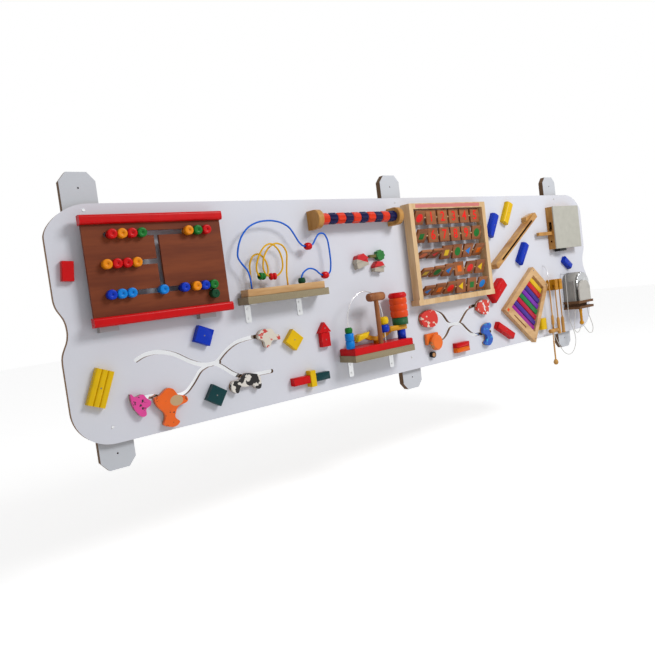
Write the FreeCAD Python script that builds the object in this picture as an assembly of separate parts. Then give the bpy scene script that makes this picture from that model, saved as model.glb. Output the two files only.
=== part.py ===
import FreeCAD, Part
import math
import os

# Wall busy board: a white faced plywood panel on three wall battens, with wooden
# and wire toys fixed to its front. Millimetres. X runs along the board, +Y points
# into the wall and Z is up. The origin is the centre of the wall face.
# A place on the front is given as x, depth out of the board's face, and z.

os.makedirs("parts", exist_ok=True)
Vector = FreeCAD.Vector

# Board and battens
board_length = 2428.0
board_height = 634.0
board_thickness = 18.0
corner_run = 118.0
corner_drop = 84.0
foot_radius_x = 104.0
foot_radius_z = 100.0
waist_depth = 23.0
waist_top = 80.0
waist_bottom = -90.0
waist_centre = -4.0
batten_width = 94.0
batten_thickness = 22.0
batten_length = 792.0
batten_lift = 7.0
batten_chamfer_x = 20.0
batten_chamfer_z = 24.0
batten_places = (-1108.0, 0.0, 1004.0)
wall_hole_radius = 2.5
wall_hole_from_end = 42.0
board_screw_radius = 4.5
board_screw_rows = (-272.0, 300.0)

# Running clearances
gap = 0.3
running = 0.05

# Routed tracks with a mirror strip on the groove floor
track_width = 12.5
track_depth = 7.0
strip_thickness = 1.0
track_peg_radius = 4.0
figure_thickness = 17.0

# Slotted peg panel
plate_left = -1133.0
plate_right = -743.0
plate_top = 262.0
plate_bottom = 12.0
plate_back = 28.0
plate_thickness = 10.0
rail_overhang = 4.0
rail_height = 25.0
rail_depth = 27.0
rail_groove = 6.0
rail_round = 7.0
spacer_width = 50.0
spacer_height = 44.0
spacer_places = (-1094.0, -811.0)
slot_width = 14.0
peg_diameter = 26.0
peg_height = 20.0
peg_pitch = 26.4
peg_shank_radius = 5.0
peg_washer_radius = 10.0
peg_washer = 2.5
peg_dimple_radius = 2.2
peg_round = 3.0
row_top = 229.0
row_middle = 152.0
row_low = 73.0
slot_upright_x = -938.0

# Shelves and the steel angle brackets under them
ply_thickness = 22.0
bracket_width = 20.0
bracket_drop = 56.0
bracket_reach = 44.0
bracket_thickness = 2.0
screw_radius = 4.0
screw_head = 1.6

# Bead maze
maze_left = -697.0
maze_right = -399.0
maze_depth = 65.0
maze_bottom = 2.0
plank_left = -689.0
plank_right = -405.0
plank_back = 10.0
plank_depth = 45.0
plank_thickness = 22.0
wire_depth = 32.0
wire_diameter = 5.0
bead_diameter = 24.0
bead_length = 22.0
bead_bore = 10.0
small_bead_length = 11.0
small_bead_diameter = 22.0
small_bead_bore = 13.0
bead_sag = 0.9

# Roller of turned beads between two cheeks
cheek_thickness = 22.0
cheek_reach = 68.0
cheek_height = 62.0
cheek_places = (-404.0, -50.0)
roller_height = 246.0
roller_depth = 40.0
roller_rod_radius = 5.0
roller_count = 10
roller_outer = 19.0
roller_root = 15.5
roller_lobes = 8

# Shelf toy with the red base
toy_left = -341.0
toy_right = -71.0
toy_depth = 86.0
toy_bottom = -233.0
toy_base_height = 23.0
toy_base_inset = 3.0
toy_wire_diameter = 3.0
post_x = -212.0
post_depth = 72.0
post_radius = 8.0
post_top = -26.0
post_head_radius = 14.5
post_head_length = 74.0
tower_x = -92.0
tower_depth = 50.0
arm_front = 44.0

# Tile frame
frame_left = 22.0
frame_right = 447.0
frame_top = 288.0
frame_bottom = -85.0
frame_back = 12.0
frame_depth = 34.0
frame_rail = 20.0
frame_foot_overhang = 5.0
tile_rows = 5
tile_columns = 6
tile_row_pitch = 67.8
tile_row_centre = 101.4
tile_column_pitch = 62.4
tile_column_first = 82.0
tile_width = 53.0
tile_height = 54.0
tile_thickness = 9.0
tile_rod_radius = 2.5
tile_tilts = (
    (28.0, 0.0, 0.0, 0.0, 0.0, 0.0),
    (34.0, 0.0, 0.0, 0.0, 0.0, 12.0),
    (66.0, 62.0, 30.0, 14.0, 24.0, 40.0),
    (60.0, 52.0, 38.0, 0.0, 30.0, 18.0),
    (55.0, 46.0, 40.0, 10.0, 14.0, 28.0),
)

# Slotted stick
stick_start = (500.0, 22.0)
stick_end = (806.0, 228.0)
stick_width = 24.0
stick_depth = 35.0
stick_slot_width = 9.0
stick_slot_length = 270.0
stick_slot_depth = 26.0

# Box with the lever
box_left = 928.0
box_right = 1131.0
box_bottom = 70.0
box_top = 260.0
box_depth = 34.0
box_wall = 10.0
box_cover = 5.5
box_slot_low = 134.0
box_slot_high = 192.0
box_slot_near = 9.0
box_slot_far = 25.0
lever_size = 15.0
lever_length = 101.0
lever_travel = 38.0

# Xylophone
xylo_centre = (719.0, -143.0)
xylo_angle = -38.5
xylo_length = 270.0
xylo_short = 131.0
xylo_long = 251.0
xylo_depth = 22.0
xylo_rail = 21.0
xylo_bars = 8
xylo_bar_width = 21.0
xylo_bar_pitch = 24.6
xylo_bar_thickness = 4.0

# Shelf with the spinning disc, at the right end
nook_left = 995.0
nook_right = 1113.0
nook_depth = 80.0
nook_top = -180.0
nook_board = 11.0
nook_space = 14.0
housing_left = 1003.0
housing_right = 1098.0
housing_back = 4.0
housing_depth = 54.0
housing_height = 132.0
housing_round = 40.0
panel_left = 1011.0
panel_right = 1101.0
panel_thickness = 7.0
panel_height = 92.0
disc_x = 1062.0
disc_z = -86.0
disc_radius = 50.0
disc_thickness = 9.0
disc_axle_radius = 5.0
knob_x = 1020.0
knob_depth = 68.0
knob_length = 72.0
cord_diameter = 3.0

# Turned sticks that hang beside the xylophone
clamp_top = -66.0
clamp_height = 48.0
clamp_depth = 46.0
clamp_width = 23.0
hanging_places = (887.0, 920.0)
hanging_depth = 35.0
hanging_length = 196.0
hanging_rod_radius = 2.8
hanging_grip_radius = 7.0
hanging_grip = 74.0
mallet_x = 846.0
cord_hook_x = 992.0
cord_hook_z = -50.0
cord_hook_radius = 2.0

face_y = -(batten_thickness + board_thickness)
half_length = board_length / 2
half_height = board_height / 2
maze_top = maze_bottom + ply_thickness
plank_top = maze_top + plank_thickness
plate_front = plate_back + plate_thickness
toy_shelf_top = toy_bottom + ply_thickness
toy_top = toy_shelf_top + toy_base_height
strip_top = -track_depth + strip_thickness


def at(x, depth, z):
    return Vector(x, face_y - depth, z)


def save(name, *shapes):
    solids = []
    for shape in shapes:
        solids.extend(shape.Solids)
    whole = solids[0] if len(solids) == 1 else Part.makeCompound(solids)
    whole.exportStep("parts/" + name + ".step")
    print(name, len(solids), "solids", round(whole.Volume / 1000, 1), "cm3", whole.isValid())


def block(x0, x1, near, far, z0, z1):
    return Part.makeBox(x1 - x0, far - near, z1 - z0, at(x0, far, z0))


def eased(shape, size, test=None):
    edges = [e for e in shape.Edges if test is None or test(e)]
    return shape.makeChamfer(size, edges)


def rounded(shape, radius, test):
    return shape.makeFillet(radius, [e for e in shape.Edges if test(e)])


def runs_along(axis):
    def test(edge):
        if len(edge.Vertexes) < 2:
            return False
        step = edge.Vertexes[1].Point - edge.Vertexes[0].Point
        return abs(abs(step.dot(axis)) - step.Length) < 1e-6 * step.Length
    return test


def peg(x, z, near, far, radius):
    return Part.makeCylinder(radius, far - near, at(x, near, z), Vector(0, -1, 0))


def bar_x(x0, x1, depth, z, radius):
    return Part.makeCylinder(radius, x1 - x0, at(x0, depth, z), Vector(1, 0, 0))


def bar_z(x, depth, z0, z1, radius):
    return Part.makeCylinder(radius, z1 - z0, at(x, depth, z0), Vector(0, 0, 1))


def prism(points, near, far):
    corners = [at(x, near, z) for x, z in points]
    face = Part.Face(Part.makePolygon(corners + corners[:1]))
    return face.extrude(Vector(0, near - far, 0))


def soft_prism(points, near, far, place=(0.0, 0.0)):
    curve = Part.BSplineCurve()
    curve.interpolate([at(place[0] + x, near, place[1] + z) for x, z in points], PeriodicFlag=True)
    face = Part.Face(Part.Wire(curve.toShape()))
    return face.extrude(Vector(0, near - far, 0))


def turned(shape, degrees, x, z):
    shape.rotate(at(x, 0, z), Vector(0, -1, 0), degrees)
    return shape


def revolved(profile, base, axis):
    # Profile points are (radius, height along the axis).
    corners = [Vector(r, 0, h) for r, h in profile]
    face = Part.Face(Part.makePolygon(corners + corners[:1]))
    solid = face.revolve(Vector(0, 0, 0), Vector(0, 0, 1), 360)
    turn = FreeCAD.Rotation(Vector(0, 0, 1), axis)
    solid.Placement = FreeCAD.Placement(base, turn)
    return solid


def smooth_path(points, share=0.45):
    # Straight runs joined by arcs that are tangent to both runs.
    edges = []
    radii = []
    start = points[0]
    for i in range(1, len(points) - 1):
        back = points[i - 1] - points[i]
        ahead = points[i + 1] - points[i]
        reach = share * min(back.Length, ahead.Length)
        inward = Vector(back).normalize()
        outward = Vector(ahead).normalize()
        turn = math.pi - inward.getAngle(outward)
        radius = reach / math.tan(turn / 2)
        radii.append(radius)
        arc_start = points[i] + inward * reach
        arc_end = points[i] + outward * reach
        bisector = Vector(inward + outward).normalize()
        centre = points[i] + bisector * (radius / math.cos(turn / 2))
        middle = centre - bisector * radius
        edges.append(Part.LineSegment(start, arc_start).toShape())
        edges.append(Part.Arc(arc_start, middle, arc_end).toShape())
        start = arc_end
    edges.append(Part.LineSegment(start, points[-1]).toShape())
    return Part.Wire(edges), radii


def tube(points, diameter):
    path, radii = smooth_path(points)
    heading = points[1] - points[0]
    section = Part.Wire(Part.Circle(points[0], heading, diameter / 2).toShape())
    solid = path.makePipeShell([section], True, False)
    expected = path.Length * math.pi * diameter ** 2 / 4
    print("  tube length", round(path.Length, 1), "least radius", round(min(radii), 1),
          "volume ratio", round(solid.Volume / expected, 4))
    return solid


def run_of(points, near, far, width):
    # A band of even width with round ends, along a routed line on the board.
    route = [at(x, near, z) for x, z in points]
    if len(route) > 2:
        path = smooth_path(route)[0]
    else:
        path = Part.Wire(Part.LineSegment(route[0], route[1]).toShape())
    start = route[0]
    heading = Vector(route[1] - start).normalize()
    side = heading.cross(Vector(0, 1, 0)) * (width / 2)
    outwards = Vector(0, near - far, 0)
    corners = [start - side, start + side, start + side + outwards, start - side + outwards]
    section = Part.makePolygon(corners + corners[:1])
    sweep = Part.BRepOffsetAPI.MakePipeShell(path)
    sweep.setBiNormalMode(Vector(0, 1, 0))
    sweep.add(section)
    sweep.build()
    sweep.makeSolid()
    band = sweep.shape()
    ends = [peg(x, z, near, far, width / 2) for x, z in (points[0], points[-1])]
    return band.fuse(ends).removeSplitter()


def screw(x, depth, z, radius=screw_radius):
    # Pan head on a flat surface, with a cross slot.
    head = revolved(((0, 0), (radius, 0), (radius * 0.8, screw_head), (0, screw_head)),
                    at(x, depth, z), Vector(0, -1, 0))
    half = radius * 0.5
    slot = block(x - half, x + half, depth + screw_head * 0.5, depth + 2 * screw_head, z - 0.5, z + 0.5)
    cross = block(x - 0.5, x + 0.5, depth + screw_head * 0.5, depth + 2 * screw_head, z - half, z + half)
    return head.cut([slot, cross])


# Tracks, as the centre lines of the routed grooves
track_arms = (
    ((-1028, -108), (-1004, -97), (-968, -94), (-920, -107), (-872, -140), (-832, -157), (-785, -155)),
    ((-832, -157), (-794, -157), (-762, -127), (-722, -105), (-680, -99), (-628, -99)),
    ((-816, -156), (-846, -166), (-872, -198), (-902, -226), (-972, -226), (-994, -213), (-1044, -213)),
    ((-800, -156), (-776, -170), (-746, -196), (-716, -213), (-612, -213)),
    ((74, -121), (150, -121), (180, -135), (206, -172), (224, -180), (272, -180)),
    ((214, -180), (270, -180), (298, -154), (328, -128), (366, -122), (432, -122)),
    ((240, -180), (216, -184), (188, -216), (160, -230), (78, -230)),
    ((236, -180), (282, -182), (314, -216), (346, -240), (452, -240)),
)
village_track = (
    ((-222, 92), (-186, 92)),
    ((-134, 112), (-106, 112)),
    ((-148, 72), (-116, 72)),
)


def make_board():
    def edge(side):
        x = side * half_length
        waist = side * (half_length - waist_depth)
        top_in = side * (half_length - corner_run)
        foot_in = side * (half_length - foot_radius_x)
        shoulder = half_height - corner_drop
        foot = foot_radius_z - half_height
        poles = (
            ((top_in, half_height), (side * (half_length - 0.42 * corner_run), half_height),
             (x, shoulder + 0.34 * corner_drop), (x, shoulder)),
            ((x, shoulder), (x, waist_top)),
            ((x, waist_top), (x, waist_top - 42), (waist, waist_centre + 44), (waist, waist_centre)),
            ((waist, waist_centre), (waist, waist_centre - 44), (x, waist_bottom + 42), (x, waist_bottom)),
            ((x, waist_bottom), (x, foot)),
            ((x, foot), (x, foot - 0.55 * foot_radius_z), (foot_in + side * 0.55 * foot_radius_x, -half_height),
             (foot_in, -half_height)),
        )
        curves = []
        for group in poles:
            curve = Part.BezierCurve()
            curve.setPoles([at(px, 0, pz) for px, pz in group])
            curves.append(curve.toShape())
        return curves

    right = edge(1)
    left = edge(-1)
    top = Part.LineSegment(left[0].Vertexes[0].Point, right[0].Vertexes[0].Point).toShape()
    bottom = Part.LineSegment(left[-1].Vertexes[1].Point, right[-1].Vertexes[1].Point).toShape()
    outline = Part.Wire(Part.__sortEdges__([top] + right + [bottom] + left))
    panel = Part.Face(outline).extrude(Vector(0, board_thickness, 0))
    grooves = [run_of(arm, -track_depth, 1.0, track_width) for arm in track_arms + village_track]
    panel = panel.cut(grooves[0].multiFuse(grooves[1:]))
    save("board_panel", panel)

    strips = [run_of(arm, -track_depth, strip_top, track_width) for arm in track_arms + village_track]
    joined = strips[0].multiFuse(strips[1:]).removeSplitter()
    save("track_mirrors", joined)


def make_battens():
    battens = []
    for x in batten_places:
        half = batten_width / 2
        low = batten_lift - batten_length / 2
        high = batten_lift + batten_length / 2
        outline = (
            (x - half, low + batten_chamfer_z), (x - half + batten_chamfer_x, low),
            (x + half - batten_chamfer_x, low), (x + half, low + batten_chamfer_z),
            (x + half, high - batten_chamfer_z), (x + half - batten_chamfer_x, high),
            (x - half + batten_chamfer_x, high), (x - half, high - batten_chamfer_z),
        )
        strip = prism(outline, -board_thickness - batten_thickness, -board_thickness)
        holes = [peg(x, z, -board_thickness - batten_thickness - 1, 0, wall_hole_radius)
                 for z in (low + wall_hole_from_end, high - wall_hole_from_end)]
        battens.append(strip.cut(holes))
    save("wall_battens", *battens)


def make_peg_panel():
    slots = (
        ((-1073, row_top), (-781, row_top)),
        ((slot_upright_x, row_top), (slot_upright_x, row_low)),
        ((-1086, row_middle), (slot_upright_x, row_middle)),
        ((-1086, row_low), (-790, row_low)),
        ((-793, row_low), (-793, row_low - 30)),
    )
    plate = block(plate_left, plate_right, plate_back, plate_front, plate_bottom, plate_top)
    cuts = [run_of(line, plate_back - 1, plate_front + 1, slot_width) for line in slots]
    save("slot_plate", plate.cut(cuts[0].multiFuse(cuts[1:])))

    rails = []
    for low, grip in ((plate_top - rail_groove, plate_top), (plate_bottom - rail_height + rail_groove, plate_bottom)):
        far = plate_back - 4 + rail_depth
        rail = block(plate_left - rail_overhang, plate_right + rail_overhang, plate_back - 4, far,
                     low, low + rail_height)
        front_y = face_y - far
        rail = rounded(rail, rail_round, lambda e: all(abs(v.Y - front_y) < 1e-6 for v in e.Vertexes)
                       and runs_along(Vector(1, 0, 0))(e))
        groove = block(plate_left, plate_right, plate_back, plate_front, grip, low + rail_height + 1)
        if low > 100:
            groove = block(plate_left, plate_right, plate_back, plate_front, low - 1, grip)
        rails.append(rail.cut(groove))
    save("slot_rails", *rails)

    spacers = []
    for x in spacer_places:
        for z in (plate_bottom - rail_height + rail_groove - 14, plate_top - spacer_height):
            spacers.append(block(x - spacer_width / 2, x + spacer_width / 2, 0, plate_back - 4, z,
                                 z + spacer_height))
    save("slot_spacers", *spacers)

    def one_peg(x, z):
        front = plate_front + gap + peg_height
        radius = peg_diameter / 2
        profile = (
            (0, plate_back - gap - peg_washer), (peg_washer_radius, plate_back - gap - peg_washer),
            (peg_washer_radius, plate_back - gap), (peg_shank_radius, plate_back - gap),
            (peg_shank_radius, plate_front + gap), (radius - 1, plate_front + gap),
            (radius, plate_front + gap + 1), (radius, front - peg_round),
            (radius - peg_round * 0.3, front - peg_round * 0.3), (radius - peg_round, front),
            (peg_dimple_radius, front), (peg_dimple_radius, front - 2.0), (0, front - 2.0),
        )
        return revolved(profile, at(x, 0, z), Vector(0, -1, 0))

    groups = {
        "pegs_top_left": [(-1060.4 + i * peg_pitch, row_top) for i in range(4)],
        "pegs_top_right": [(-793.0 - i * (peg_pitch + 0.8), row_top) for i in range(3)],
        "pegs_middle": [(-1084.0 + i * peg_pitch, row_middle) for i in range(4)],
        "pegs_low_left": [(-1083.0 + i * peg_pitch, row_low) for i in range(3)] + [(-942.5, row_low)],
        "pegs_low_right": [(-793.0 - i * peg_pitch, row_low) for i in range(3)] + [(-880.8, row_low)],
        "peg_branch": [(-793.0, row_low - peg_pitch - 0.2)],
    }
    for name, places in groups.items():
        save(name, *[one_peg(x, z) for x, z in places])


def make_shelves():
    maze = block(maze_left, maze_right, 0, maze_depth, maze_bottom, maze_top)
    toy = block(toy_left, toy_right, 0, toy_depth, toy_bottom, toy_shelf_top)
    upper = block(nook_left, nook_right, 0, nook_depth, nook_top - nook_board, nook_top)
    floor = nook_top - 2 * nook_board - nook_space
    lower = block(nook_left, nook_right, 0, nook_depth, floor, floor + nook_board)
    middle = block(nook_left + 12, nook_right - 12, 0, nook_depth - 26, floor + nook_board, nook_top - nook_board)
    save("ply_shelves", maze, toy, upper, middle, lower)

    fixings = []
    for x, under in ((-690 + 22, maze_bottom), (-478.0, maze_bottom), (-300.0, toy_bottom), (-112.0, toy_bottom)):
        half = bracket_width / 2
        wall_leg = block(x - half, x + half, 0, bracket_thickness, under - bracket_drop, under)
        reach = block(x - half, x + half, 0, bracket_reach, under - bracket_thickness, under)
        legs = wall_leg.fuse(reach).removeSplitter()
        fixings.append(rounded(legs, 5.0, lambda e: runs_along(Vector(0, 1, 0))(e)
                               and e.BoundBox.ZMax < under - bracket_drop + 1))
        for drop in (0.25, 0.78):
            fixings.append(screw(x, bracket_thickness, under - bracket_drop * drop))
    for x in batten_places:
        for z in board_screw_rows:
            place = x - 8 if z < 0 else x
            fixings.append(screw(place, 0, z, board_screw_radius))
    fixings.append(peg(cord_hook_x, cord_hook_z, 0, 30, cord_hook_radius))
    save("brackets_and_screws", *fixings)


def bead(x, depth, z, heading, length=bead_length, diameter=bead_diameter, bore=bead_bore):
    radius = diameter / 2
    half = length / 2
    profile = (
        (bore / 2, -half), (radius * 0.72, -half), (radius * 0.94, -half * 0.62), (radius, 0),
        (radius * 0.94, half * 0.62), (radius * 0.72, half), (bore / 2, half),
    )
    return revolved(profile, at(x, depth, z), heading)


def make_bead_maze():
    plank = block(plank_left, plank_right, plank_back, plank_back + plank_depth, maze_top, plank_top)
    save("maze_base", eased(plank, 1.2))
    blue_route = (
        (-661, plank_top), (-661, 78), (-667, 104), (-684, 124), (-696, 145), (-688, 178), (-672, 208),
        (-646, 233), (-610, 247), (-568, 250), (-528, 243), (-498, 226), (-482, 200), (-468, 175),
        (-454, 163), (-418, 163), (-402, 186), (-386, 202), (-366, 201), (-354, 180), (-352, 145),
        (-352, 105), (-358, 76), (-369, 65), (-398, 65), (-418, 86), (-444, 93), (-468, 80), (-477, 66),
        (-477, plank_top),
    )
    save("maze_wire_blue", tube([at(x, wire_depth, z) for x, z in blue_route], wire_diameter))
    near = wire_depth - 12
    far = wire_depth + 14
    yellow_route = (
        (-531, wire_depth, plank_top), (-531, wire_depth, 80), (-525, wire_depth, 115), (-519, wire_depth, 148),
        (-532, wire_depth, 172), (-556, wire_depth, 180), (-584, wire_depth, 168), (-606, wire_depth, 140),
        (-614, wire_depth, 106), (-605, wire_depth + 2, 79), (-568, far - 4, 78), (-552, far, 96),
        (-548, far, 122), (-556, far, 156), (-580, far, 179), (-606, far, 172), (-628, far, 148),
        (-644, far - 2, 112), (-638, wire_depth + 6, 84), (-598, near + 8, 80), (-587, near, 103),
        (-593, near, 131), (-612, near, 152), (-636, near, 148), (-652, near, 122), (-653, near, 84),
        (-653, near, plank_top),
    )
    save("maze_wire_yellow", tube([at(*place) for place in yellow_route], wire_diameter))
    along = Vector(1, 0, 0)
    save("maze_beads_red", bead(-436, wire_depth, 163 - bead_sag, along),
         bead(-382.5, wire_depth, 65 - bead_sag / 2, along))
    save("maze_bead_green", bead(-477, wire_depth, plank_top + gap + 9, Vector(0, 0, 1), 18.0))
    pairs = []
    for run, share in ((9, 0.52), (18, 0.38)):
        start = at(*yellow_route[run])
        end = at(*yellow_route[run + 1])
        heading = Vector(end - start).normalize()
        middle = start + (end - start) * share
        for side in (-1, 1):
            place = middle + heading * (side * (small_bead_length + gap) / 2)
            pairs.append(bead(place.x, face_y - place.y, place.z - bead_sag, heading, small_bead_length,
                              small_bead_diameter, small_bead_bore))
    save("maze_beads_yellow_wire", *pairs)


def make_roller():
    cheeks = []
    for x in cheek_places:
        radius = cheek_height / 2
        side = block(x, x + cheek_thickness, 0, cheek_reach - radius, roller_height - radius, roller_height + radius)
        nose = Part.makeCylinder(radius, cheek_thickness, at(x, cheek_reach - radius, roller_height), Vector(1, 0, 0))
        cheek = side.fuse(nose).removeSplitter()
        hole = bar_x(x - 1, x + cheek_thickness + 1, roller_depth, roller_height, roller_rod_radius)
        cheeks.append(eased(cheek.cut(hole), 1.5, lambda e: e.Length > 40))
    rod = bar_x(cheek_places[0], cheek_places[1] + cheek_thickness, roller_depth, roller_height, roller_rod_radius)
    save("roller_stand", *cheeks, rod)

    start = cheek_places[0] + cheek_thickness + gap
    room = cheek_places[1] - gap - start
    pitch = room / roller_count
    colours = {"rollers_red": [], "rollers_navy": []}
    for i in range(roller_count):
        x = start + i * pitch
        deep = 1.0 if i % 2 == 0 else 2.4
        corners = []
        for k in range(roller_lobes * 2):
            angle = math.pi * k / roller_lobes + 0.2 * i
            radius = roller_outer if k % 2 == 0 else roller_outer - deep - 1.2
            corners.append(Vector(x, face_y - roller_depth + radius * math.cos(angle),
                                  roller_height + radius * math.sin(angle)))
        star = Part.Face(Part.makePolygon(corners + corners[:1])).extrude(Vector(pitch - gap, 0, 0))
        ends = revolved(((0, 0), (roller_root, 0), (roller_outer + 0.5, 5), (roller_outer + 0.5, pitch - gap - 5),
                         (roller_root, pitch - gap), (0, pitch - gap)),
                        Vector(x, face_y - roller_depth, roller_height), Vector(1, 0, 0))
        bore = bar_x(x - 1, x + pitch + 1, roller_depth, roller_height, roller_rod_radius + running)
        colours["rollers_red" if i % 2 == 0 else "rollers_navy"].append(star.common(ends).cut(bore))
    for name, rollers in colours.items():
        save(name, *rollers)


def figure(points, place, pegs, thickness=figure_thickness, scale=1.0):
    outline = [(x * scale, z * scale) for x, z in points]
    body = soft_prism(outline, gap, gap + thickness, place)
    feet = [peg(x, z, strip_top + gap, gap + 1, track_peg_radius) for x, z in pegs]
    return body.fuse(feet).removeSplitter()


def make_village():
    def house(x, z, width, height, lean):
        walls = prism(((x - width / 2, z - height / 2), (x + width / 2, z - height / 2),
                       (x + width / 2, z), (x - width / 2, z)), gap, gap + figure_thickness + 4)
        roof = prism(((x - width / 2 - 4, z), (x + width / 2 + 4, z), (x + width / 4, z + height / 2),
                      (x - width / 4, z + height / 2)), gap, gap + figure_thickness + 8)
        return turned(walls.fuse(roof), lean, x, z)

    big = house(-209, 100, 52, 44, 14.0).fuse(peg(-204, 92, strip_top + gap, gap + 1, track_peg_radius))
    small = house(-132, 74, 42, 36, -8.0).fuse(peg(-132, 72, strip_top + gap, gap + 1, track_peg_radius))
    crown = []
    for k in range(16):
        angle = math.pi * k / 8
        radius = 19.5 if k % 2 == 0 else 17.0
        crown.append((radius * math.cos(angle), radius * math.sin(angle)))
    tree = soft_prism(crown, gap, gap + figure_thickness, (-116.0, 114.0))
    trunk = block(-164, -132, gap + 2, gap + figure_thickness - 2, 108, 118)
    foot = peg(-120, 112, strip_top + gap, gap + 1, track_peg_radius)
    save("village_figures", big.removeSplitter(), small.removeSplitter(),
         tree.fuse([trunk, foot]).removeSplitter())


def make_shelf_toy():
    base = block(toy_left + toy_base_inset, toy_right - toy_base_inset, 2.0, toy_depth - toy_base_inset,
                 toy_shelf_top, toy_top)
    save("toy_base", eased(base, 2.5, lambda e: e.BoundBox.ZMin > toy_shelf_top + 1))
    post = bar_z(post_x, post_depth, toy_top, post_top - post_head_radius, post_radius)
    half = post_head_length / 2
    head = revolved(((0, -half), (post_head_radius * 0.55, -half), (post_head_radius * 0.9, 4 - half),
                     (post_head_radius, 10 - half), (post_head_radius, half - 10),
                     (post_head_radius * 0.9, half - 4), (post_head_radius * 0.55, half), (0, half)),
                    at(post_x, post_depth, post_top - 2), Vector(1, 0, 0))
    save("toy_post", post.fuse(head).removeSplitter())
    left_x = -333.0
    right_x = -176.0
    wire_at = 56.0
    route = (
        (left_x, toy_top), (left_x, -100), (-327, -66), (-311, -36), (-283, -12),
        (-248, -3), (-214, -12), (-191, -38), (-180, -68), (right_x, -96), (right_x, toy_top),
    )
    save("toy_wire", tube([at(x, wire_at, z) for x, z in route], toy_wire_diameter))
    bore = toy_wire_diameter + 2.0
    up = Vector(0, 0, 1)
    stack = [bead(right_x, wire_at, z, up, 26.0, 36.0, bore) for z in (-114.0, -141.0)]
    stack.append(bead(left_x, wire_at, -127, up, 20.0, 26.0, bore))
    for low in (toy_top + gap, toy_top + gap + 26):
        ring = bar_z(left_x, wire_at, low, low + 25.4, 15.0)
        stack.append(eased(ring, 1.5, lambda e: e.Closed).cut(bar_z(left_x, wire_at, low - 1, low + 27, bore / 2)))
    save("toy_beads", *stack)

    arm = soft_prism(((-302, -158), (-268, -146), (-236, -156), (-206, -164), (-170, -158), (-140, -140),
                      (-128, -146), (-166, -172), (-208, -178), (-240, -170), (-270, -162), (-298, -172)),
                     28.0, arm_front)
    wedge = prism(((-306, -170), (-262, -160), (-250, -142), (-296, -148)), arm_front, 66.0)
    stub = block(-210, -190, 30, 42, toy_top, -170)
    save("toy_arm", arm.fuse([stub]).removeSplitter(), eased(wedge, 1.5))

    blue = bar_z(tower_x, tower_depth, toy_top, -156, 15.0)
    bridge = block(-155, -74, arm_front, tower_depth + 14, -156, -138)
    ring = bar_z(tower_x, tower_depth, -138, -112, 28.0)
    grooved = [(0, -112), (29, -112)]
    for k in range(3):
        low = -112 + k * 23
        grooved += [(29, low + 1), (31, low + 4), (31, low + 19), (29, low + 22)]
    grooved += [(29, -43), (0, -43)]
    body = revolved(tuple(grooved), at(tower_x, tower_depth, 0), up)
    cap = revolved(((0, -43), (30, -43), (32, -39), (32, -31), (26, -25), (0, -25)),
                   at(tower_x, tower_depth, 0), up)
    save("toy_tower", blue, eased(bridge, 2.0), ring, body, cap)


def make_figures():
    shapes = {
        "track_pig": (((-22, 30), (-8, 24), (6, 27), (16, 14), (26, 4), (20, -8), (10, -14), (8, -30),
                       (-4, -32), (-14, -20), (-22, -6)), (-1036.0, -228.0), ((-1028, -213),)),
        "track_giraffe": (((-42, 34), (-22, 42), (-4, 52), (12, 44), (22, 28), (46, 18), (48, 8), (22, -2),
                           (8, -18), (6, -34), (16, -46), (4, -56), (-16, -54), (-30, -46), (-24, -30),
                           (-26, -12), (-42, 10)), (-953.0, -250.0), ((-940, -226),)),
        "track_cow": (((-52, -4), (-44, 10), (-22, 12), (0, 26), (28, 22), (46, 14), (50, -6), (44, -26),
                       (34, -26), (24, -14), (-6, -12), (-22, -10), (-32, -26), (-46, -20)),
                      (-713.0, -229.0), ((-696, -213),)),
        "track_horse": (((-38, 12), (-24, 26), (0, 28), (14, 24), (22, 10), (38, 2), (40, -8), (26, -10),
                         (8, -12), (-4, -28), (-16, -26), (-20, -8), (-34, 0)),
                        (-614.0, -108.0), ((-636, -99),)),
        "track_car": (((-38, 22), (-18, 31), (28, 29), (40, 14), (39, -18), (26, -28), (-10, -30), (-34, -20)),
                      (91.0, -142.0), ((96, -121),)),
        "track_bird": (((-40, 2), (-22, 26), (18, 29), (40, 20), (33, 0), (24, -26), (-6, -28), (-24, -16)),
                       (408.0, -134.0), ((410, -122),)),
        "track_fish": (((-30, 14), (-22, 33), (0, 44), (22, 42), (24, 28), (10, 16), (20, -2), (27, -22),
                        (14, -42), (-8, -45), (-23, -32), (-10, -20), (-12, 0)),
                       (416.0, -246.0), ((410, -240),)),
    }
    for name, (outline, place, pegs) in shapes.items():
        save(name, figure(outline, place, pegs))
    foot = block(64, 130, gap, gap + 16, -238, -196)
    face = revolved(((0, 0), (26, 0), (30, 4), (30, 12), (24, 18), (0, 18)), at(104, gap + 16, -232), Vector(0, -1, 0))
    pin = peg(100, -230, strip_top + gap, gap + 1, track_peg_radius)
    save("track_sun", eased(foot, 3.0).fuse([face, pin]).removeSplitter())


def wooden_bar(x, z, length, width, angle, thickness, crown=5.0):
    # A block lying along X before it is turned, with its two long front edges rounded.
    shape = block(x - length / 2, x + length / 2, 0, thickness, z - width / 2, z + width / 2)
    front = face_y - thickness
    shape = rounded(shape, crown, lambda e: all(abs(v.Y - front) < 1e-6 for v in e.Vertexes)
                    and runs_along(Vector(1, 0, 0))(e))
    return turned(shape, angle, x, z)


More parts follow.
